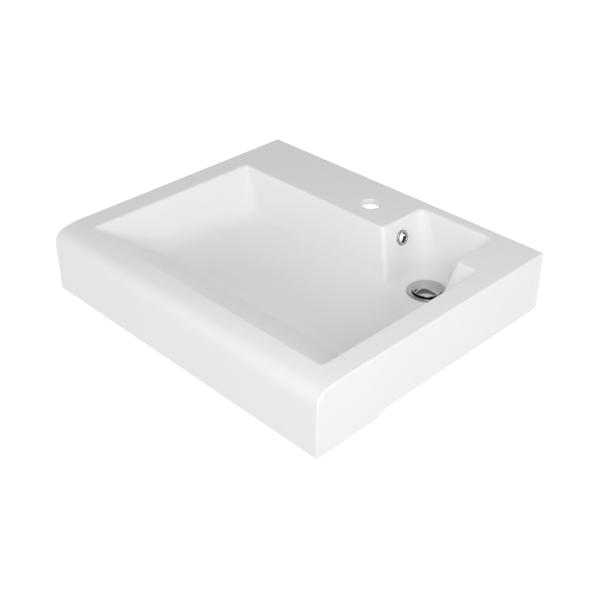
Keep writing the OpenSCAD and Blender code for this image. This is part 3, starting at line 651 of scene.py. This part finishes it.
def add_overflow():
    turned = np.stack([np.cross((0, 1, 0), OVERFLOW_AXIS), (0, 1, 0), OVERFLOW_AXIS], axis=1)
    seat, face_t, ring_r, bore_r, sleeve_r, sleeve_t = 0.15, 2.4, 13.25, 8, OVERFLOW_R - 0.3, 1.2
    barb_z, leg, barb, slot_w = -OVERFLOW_WEB_T - 0.3, 2, 0.9, 3
    solid_end, inner = barb_z + 1.5 * leg, sleeve_r - sleeve_t
    middle, half, low = (ring_r + bore_r) / 2, (ring_r - bore_r) / 2, seat + face_t / 4
    crown = []
    for a in np.linspace(0, math.pi, 24):
        nr, nz = math.cos(a) / half, math.sin(a) / (seat + face_t - low)
        crown.append((middle + half * math.cos(a), low + (seat + face_t - low) * math.sin(a),
                      nr / math.hypot(nr, nz), nz / math.hypot(nr, nz)))
    ring = swept(rounded([
        (inner, solid_end, 0.2), (sleeve_r, solid_end, 0.2), (sleeve_r, seat, 0.2), (ring_r, seat, 0.3),
        *crown, (inner, low, 0.4)]))
    barbed = rounded([
        (inner, barb_z - leg, 0.3), (sleeve_r, barb_z - leg, 0.3), (sleeve_r + barb, barb_z, 0.15),
        (sleeve_r, barb_z, 0.15), (sleeve_r, solid_end + 0.3, 0.1), (inner, solid_end + 0.3, 0.1)])
    gap = math.degrees(math.asin(slot_w / 2 / inner))
    legs = [swept(barbed, start=quarter + gap, sweep=90 - 2 * gap, steps=TURN_STEPS // 4)
            for quarter in (0, 90, 180, 270)]
    add_piece("overflow_trim", *joined([ring, *legs]), "overflow_ring", OVERFLOW_PLACE, turned)


# Materials

def noise(nodes, links, scale, detail):
    place = nodes.new("ShaderNodeTexCoord")
    made = nodes.new("ShaderNodeTexNoise")
    made.inputs["Scale"].default_value = scale
    made.inputs["Detail"].default_value = detail
    links.new(place.outputs["Object"], made.inputs["Vector"])
    return made


def spread(nodes, links, source, low, high):
    """Maps a noise's values to the range from low to high."""
    made = nodes.new("ShaderNodeMapRange")
    made.inputs["From Min"].default_value, made.inputs["From Max"].default_value = 0.3, 0.7
    made.inputs["To Min"].default_value, made.inputs["To Max"].default_value = low, high
    links.new(source.outputs["Fac"], made.inputs["Value"])
    return made


def blend_colors(nodes, links, factor, low, high):
    """Goes from the low to the high color as the factor goes from 0 to 1."""
    made = nodes.new("ShaderNodeMix")
    made.data_type = "RGBA"
    made.inputs["A"].default_value = (*low, 1)
    made.inputs["B"].default_value = (*high, 1)
    links.new(factor.outputs[0], made.inputs["Factor"])
    return made


def bump(nodes, links, shader, source, strength, distance):
    """Small bumps from a noise. distance is in metres."""
    made = nodes.new("ShaderNodeBump")
    made.inputs["Strength"].default_value = strength
    made.inputs["Distance"].default_value = distance
    links.new(source.outputs["Fac"], made.inputs["Height"])
    links.new(made.outputs["Normal"], shader.inputs["Normal"])


def material(name, colors, roughness, noises, strength, distance=0.0002, metallic=0.0):
    """A material whose color, roughness and fine bumps vary a little.

    colors and roughness are each a low and a high value. noises holds the scale and detail of
    the noise for color, roughness and bumps, and strength and distance are the bumps' own.
    """
    made = bpy.data.materials.new(name)
    made.use_nodes = True
    nodes, links = made.node_tree.nodes, made.node_tree.links
    shader = nodes["Principled BSDF"]
    shader.inputs["Base Color"].default_value = (*colors[1], 1)
    shader.inputs["Roughness"].default_value = roughness[1]
    shader.inputs["Metallic"].default_value = metallic
    for_color, for_roughness, for_bumps = noises
    tint = spread(nodes, links, noise(nodes, links, *for_color), 0, 1)
    color = blend_colors(nodes, links, tint, *colors)
    links.new(color.outputs["Result"], shader.inputs["Base Color"])
    gloss = spread(nodes, links, noise(nodes, links, *for_roughness), *roughness)
    links.new(gloss.outputs["Result"], shader.inputs["Roughness"])
    bump(nodes, links, shader, noise(nodes, links, *for_bumps), strength, distance)
    return made


def glaze():
    made = material("glaze", ((0.915, 0.915, 0.91), (0.93, 0.93, 0.928)), (0.29, 0.35),
                    ((6, 2), (30, 4), (55, 1)), 0.06, 0.0006)
    shader = made.node_tree.nodes["Principled BSDF"]
    shader.inputs["Base Color"].default_value = (0.92, 0.92, 0.915, 1)
    shader.inputs["Roughness"].default_value = 0.32
    shader.inputs["IOR"].default_value = 1.45
    shader.inputs["Coat Weight"].default_value = 0.25
    shader.inputs["Coat Roughness"].default_value = 0.06
    return made


def metal(name, colors, roughness, scale, strength):
    noises = ((scale, 2), (scale * 4, 5), (scale * 9, 3))
    return material(name, colors, roughness, noises, strength, metallic=1.0)


def soft(name, colors, roughness, scale, strength):
    noises = ((scale, 2), (scale * 3, 4), (scale * 12, 5))
    return material(name, colors, roughness, noises, strength)


# Height over the wall, in mm, at which the overflow ring's plating starts; behind it the bare sleeve is
# painted near black as shade in the bore
PLATED_FROM = 0.7


def bare_sleeve_with_painted_shade(made, place, axis, color):
    """Bare plastic behind a plane, near black as painted shade inside the overflow's bore: of the
    plated pieces only the overflow's sleeve reaches it.
    """
    nodes, links = made.node_tree.nodes, made.node_tree.links
    shader = nodes["Principled BSDF"]
    coord, depth = nodes.new("ShaderNodeTexCoord"), nodes.new("ShaderNodeVectorMath")
    depth.operation = "DOT_PRODUCT"
    links.new(coord.outputs["Object"], depth.inputs[0])
    depth.inputs[1].default_value = tuple(axis)
    plated = nodes.new("ShaderNodeMath")
    plated.operation = "GREATER_THAN"
    links.new(depth.outputs["Value"], plated.inputs[0])
    plated.inputs[1].default_value = (place @ axis + PLATED_FROM) * MM
    both = blend_colors(nodes, links, plated, color, color)
    links.new(shader.inputs["Base Color"].links[0].from_socket, both.inputs["B"])
    links.new(both.outputs["Result"], shader.inputs["Base Color"])
    links.new(plated.outputs[0], shader.inputs["Metallic"])


GLAZE = glaze()
CHROME = metal("chrome", ((0.48, 0.485, 0.50), (0.54, 0.545, 0.555)), (0.04, 0.08), 40, 0.04)
# Near black bare sleeve: painted shade that darkens the overflow ring's bore
bare_sleeve_with_painted_shade(CHROME, OVERFLOW_PLACE, OVERFLOW_AXIS, (0.02, 0.02, 0.022))
BRASS = metal("brass", ((0.72, 0.56, 0.28), (0.82, 0.67, 0.36)), (0.22, 0.34), 60, 0.15)
STEEL = metal("steel", ((0.52, 0.53, 0.55), (0.62, 0.63, 0.65)), (0.2, 0.3), 70, 0.1)
RUBBER = soft("rubber", ((0.03, 0.03, 0.032), (0.05, 0.05, 0.053)), (0.55, 0.75), 60, 0.3)
PLASTIC = soft("white_plastic", ((0.80, 0.80, 0.78), (0.86, 0.86, 0.84)), (0.35, 0.5), 60, 0.12)

SLOT_MATERIALS = {"glaze": GLAZE, "chrome": CHROME, "brass": BRASS, "steel": STEEL,
                  "rubber": RUBBER, "white_plastic": PLASTIC}

add_shell()
add_waste()
add_gaskets()
add_nut()
add_cartridge()
add_plug()
add_overflow()

for part in frame["record"]["subparts"]:
    node = frame["nodes"][part["node"]]
    node.data.materials.clear()
    node.data.materials.append(SLOT_MATERIALS[part["material_slot"]])
    bevel = node.modifiers.new("edge", "BEVEL")
    bevel.width = 0.0002
    bevel.segments = 2

# Studio: floor under the basin at the height of a machine, backdrop, lamps and camera

FLOOR_Z, FLOOR_REACH = -0.85, 12
FLOOR_GLOW = 0.75
# Brightness that reflections see, from straight below (0) to straight above (1)
OVERHEAD = ((0, 1), (0.3, 0.9), (0.5, 0.35), (0.62, 0.18), (0.84, 0.2), (0.9, 1), (1, 1))


def studio_white(name, color, glow):
    """Diffuse paint that looks white to the camera and in reflections, and keeps shadows."""
    made = bpy.data.materials.new(name)
    made.use_nodes = True
    nodes, links = made.node_tree.nodes, made.node_tree.links
    nodes.clear()
    paint = nodes.new("ShaderNodeBsdfDiffuse")
    paint.inputs["Color"].default_value = (*color, 1)
    light = nodes.new("ShaderNodeEmission")
    light.inputs["Strength"].default_value = glow
    both = nodes.new("ShaderNodeAddShader")
    links.new(paint.outputs[0], both.inputs[0])
    links.new(light.outputs[0], both.inputs[1])
    mix = nodes.new("ShaderNodeMixShader")
    links.new(seen_directly(nodes, links), mix.inputs[0])
    links.new(paint.outputs[0], mix.inputs[1])
    links.new(both.outputs[0], mix.inputs[2])
    out = nodes.new("ShaderNodeOutputMaterial")
    links.new(mix.outputs[0], out.inputs["Surface"])
    return made


def seen_directly(nodes, links):
    """1 for rays from the camera and for reflections and refractions."""
    path = nodes.new("ShaderNodeLightPath")
    glossy = nodes.new("ShaderNodeMath")
    glossy.operation = "MAXIMUM"
    links.new(path.outputs["Is Camera Ray"], glossy.inputs[0])
    links.new(path.outputs["Is Glossy Ray"], glossy.inputs[1])
    either = nodes.new("ShaderNodeMath")
    either.operation = "MAXIMUM"
    links.new(glossy.outputs[0], either.inputs[0])
    links.new(path.outputs["Is Transmission Ray"], either.inputs[1])
    return either.outputs[0]


def add_floor():
    mesh = bpy.data.meshes.new("floor")
    mesh.from_pydata([(x * FLOOR_REACH, y * FLOOR_REACH, FLOOR_Z)
                      for x, y in ((-1, -1), (1, -1), (1, 1), (-1, 1))], [], [(0, 1, 2, 3)])
    floor = bpy.data.objects.new("floor", mesh)
    bpy.context.scene.collection.objects.link(floor)
    mesh.materials.append(studio_white("floor", (0.8, 0.8, 0.8), FLOOR_GLOW))


def add_world(strength):
    """Even light, white to the camera, and with a dark band overhead for reflections."""
    world = bpy.data.worlds.new("studio")
    bpy.context.scene.world = world
    world.use_nodes = True
    nodes, links = world.node_tree.nodes, world.node_tree.links
    nodes.clear()
    place, parts = nodes.new("ShaderNodeTexCoord"), nodes.new("ShaderNodeSeparateXYZ")
    links.new(place.outputs["Generated"], parts.inputs[0])
    band = nodes.new("ShaderNodeValToRGB")
    band.color_ramp.interpolation = "EASE"
    stops = band.color_ramp.elements
    for at, shade in OVERHEAD[1:-1]:
        stops.new(at).color = (shade, shade, shade, 1)
    for stop, (_, shade) in ((stops[0], OVERHEAD[0]), (stops[-1], OVERHEAD[-1])):
        stop.color = (shade, shade, shade, 1)
    links.new(parts.outputs["Z"], band.inputs["Fac"])
    dim, white, seen = [nodes.new("ShaderNodeBackground") for _ in range(3)]
    dim.inputs["Strength"].default_value = strength
    white.inputs["Color"].default_value = (1, 1, 1, 1)
    white.inputs["Strength"].default_value = 1.0
    links.new(band.outputs["Color"], seen.inputs["Color"])
    path = nodes.new("ShaderNodeLightPath")
    mirrored, mix = nodes.new("ShaderNodeMixShader"), nodes.new("ShaderNodeMixShader")
    links.new(path.outputs["Is Glossy Ray"], mirrored.inputs[0])
    links.new(dim.outputs[0], mirrored.inputs[1])
    links.new(seen.outputs[0], mirrored.inputs[2])
    links.new(path.outputs["Is Camera Ray"], mix.inputs[0])
    links.new(mirrored.outputs[0], mix.inputs[1])
    links.new(white.outputs[0], mix.inputs[2])
    out = nodes.new("ShaderNodeOutputWorld")
    links.new(mix.outputs[0], out.inputs["Surface"])


def direction(azimuth, elevation):
    """Unit vector towards a place seen at that azimuth and elevation, 0 being the front."""
    a, e = math.radians(azimuth), math.radians(elevation)
    return Vector((math.sin(a) * math.cos(e), -math.cos(a) * math.cos(e), math.sin(e)))


def add_lamp(name, azimuth, elevation, distance, size, watts, mirrored=True):
    """Round lamp that faces the basin. If mirrored is off, reflections don't show it."""
    lamp = bpy.data.lights.new(name, "AREA")
    lamp.shape = "DISK"
    lamp.size = size
    lamp.energy = watts
    made = bpy.data.objects.new(name, lamp)
    towards = direction(azimuth, elevation)
    made.location = Vector((0, -DEPTH / 2 * MM, 0.02)) + towards * distance
    made.rotation_mode = "QUATERNION"
    made.rotation_quaternion = towards.to_track_quat("Z", "Y")
    made.visible_glossy = mirrored
    bpy.context.scene.collection.objects.link(made)


def add_camera():
    """Camera of the photograph: its angles, distance and focal length were fitted."""
    azimuth, elevation, roll = 45.617, 33.112, math.radians(-0.182)
    focal_px, image_px, sensor = 1029.77, 600, 36
    place = Vector((1.01685, -1.23165, RIM_Z * MM + 0.80971))
    back = direction(azimuth, elevation)
    side = (-back).cross(Vector((0, 0, 1))).normalized()
    up = side.cross(-back)
    tilted = side * math.cos(roll) + up * math.sin(roll)
    upright = up * math.cos(roll) - side * math.sin(roll)
    data = bpy.data.cameras.new("camera")
    data.sensor_width = sensor
    data.lens = focal_px / image_px * sensor
    camera = bpy.data.objects.new("camera", data)
    turn = Matrix((tilted, upright, back)).transposed().to_4x4()
    camera.matrix_world = Matrix.Translation(place) @ turn
    bpy.context.scene.collection.objects.link(camera)
    bpy.context.scene.camera = camera


add_floor()
add_world(strength=0.576)
add_lamp("front", azimuth=0, elevation=15, distance=2.4, size=1.6, watts=13.6, mirrored=False)
add_lamp("right", azimuth=90, elevation=15, distance=2.4, size=1.6, watts=12.5, mirrored=False)
add_lamp("near", azimuth=60, elevation=40, distance=1.4, size=1.0, watts=5.7)
add_camera()
bpy.context.scene.view_settings.view_transform = "Standard"
